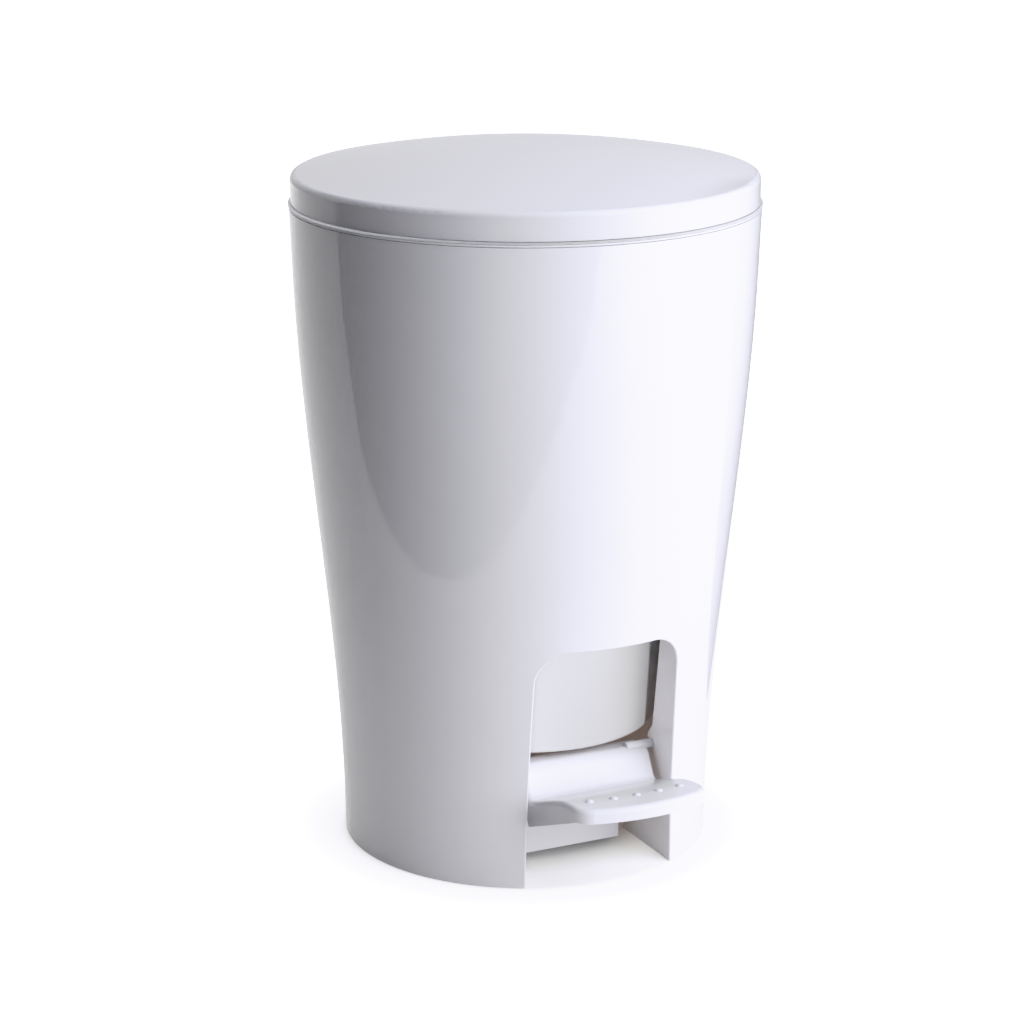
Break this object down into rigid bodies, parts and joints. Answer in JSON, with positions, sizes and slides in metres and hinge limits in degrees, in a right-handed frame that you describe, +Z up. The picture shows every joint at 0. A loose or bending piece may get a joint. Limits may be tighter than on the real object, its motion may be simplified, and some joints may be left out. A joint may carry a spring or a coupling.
{
  "type": "pedal bin",
  "caption": "Round flared pedal waste bin with a domed hinged lid, lift-out bucket and a wide pedal in a doorway opening.",
  "frame": {"origin": "on the floor, in the bin's plane of symmetry, midway between the pedal's tip and the back of the lid hinge", "axes": "+Z up, -Y towards the pedal, +X to the right for someone who faces the pedal"},
  "size_m": [0.1996, 0.2263, 0.3013],
  "materials": {
    "body_plastic": "glossy",
    "rim_plastic": "glossy",
    "lid_plastic": "glossy",
    "pedal_plastic": "semi-gloss",
    "bucket_plastic": "satin",
    "crank_plastic": "satin",
    "cap_plastic": "semi-gloss",
    "clip_plastic": "satin",
    "grip_plastic": "satin",
    "bumper_rubber": "matte",
    "wire_steel": "zinc-plated wire",
    "pin_steel": "plain",
    "screw_steel": "zinc-plated"
  },
  "bodies": {
    "bin": {"outer_body": "body_plastic", "rim_ring": "rim_plastic", "ring_screws": "screw_steel", "hinge_pin": "pin_steel", "hinge_pin_caps": "cap_plastic", "inner_bucket": "bucket_plastic"},
    "lid": {"lid": "lid_plastic", "lid_bumpers": "bumper_rubber", "lid_crank": "crank_plastic", "crank_screws": "screw_steel"},
    "pedal": {"pedal": "pedal_plastic"},
    "lift_rod": {"lift_rod": "wire_steel", "rod_clip_lower": "clip_plastic", "rod_clip_upper": "clip_plastic"},
    "bail": {"bucket_bail": "wire_steel", "bail_grip": "grip_plastic"}
  },
  "joints": [
    {"name": "lid_hinge", "type": "hinge", "parent": "bin", "child": "lid", "pos_m": [0, 0.10915, 0.282], "axis": [-1, 0, 0], "range_deg": [0, 80]},
    {"name": "pedal_pivot", "type": "hinge", "parent": "bin", "child": "pedal", "pos_m": [0, -0.05135, 0.0489], "axis": [1, 0, 0], "range_deg": [0, 12.5]},
    {"name": "rod_foot", "type": "hinge", "parent": "pedal", "child": "lift_rod", "pos_m": [0, 0.07015, 0.009], "axis": [-1, 0, 0], "range_deg": [0, 12.5]},
    {"name": "bail_swing", "type": "hinge", "parent": "bin", "child": "bail", "pos_m": [0, 0.00415, 0.2712], "axis": [-1, 0, 0], "range_deg": [0, 8]}
  ],
  "couplings": [
    {"joint": "pedal_pivot", "follows": "lid_hinge", "ratio": 0.15625},
    {"joint": "rod_foot", "follows": "lid_hinge", "ratio": 0.15625}
  ]
}
